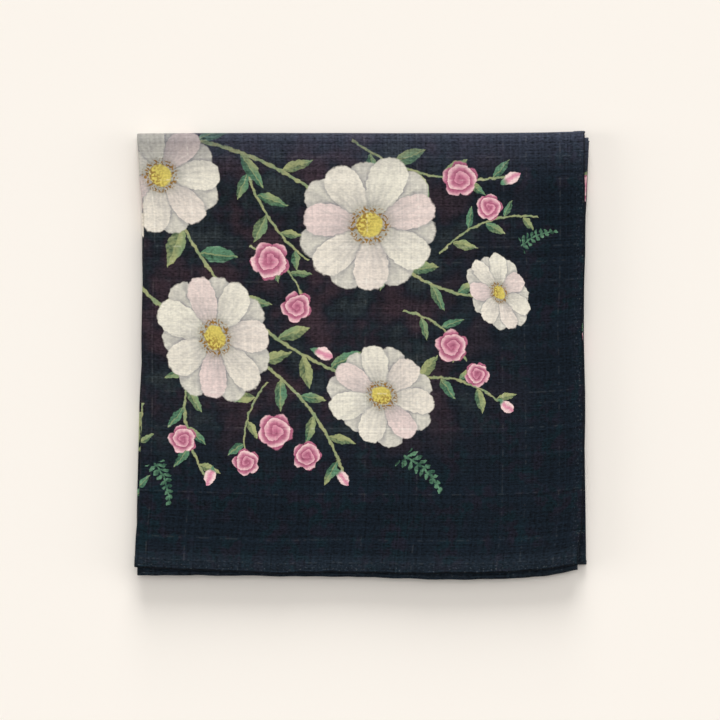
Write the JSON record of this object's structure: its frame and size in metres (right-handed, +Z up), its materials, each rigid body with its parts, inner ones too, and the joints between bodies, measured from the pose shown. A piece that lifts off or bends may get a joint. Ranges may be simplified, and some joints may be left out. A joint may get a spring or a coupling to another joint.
{
  "type": "folded handkerchief",
  "caption": "Thin woven cotton handkerchief with narrow hems, folded into a flat square pack.",
  "frame": {"origin": "on the surface the folded cloth lies on, under the middle of its box", "axes": "+Z up, +X along the hemmed near edge towards the open side, +Y from the hemmed edge towards the wide fold"},
  "size_m": [0.1274, 0.1256, 0.0061],
  "materials": {
    "printed_cotton": "matt plain-weave slub cotton, near-black navy with a floral print"
  },
  "bodies": {
    "root": {"handkerchief": "printed_cotton"}
  },
  "joints": []
}
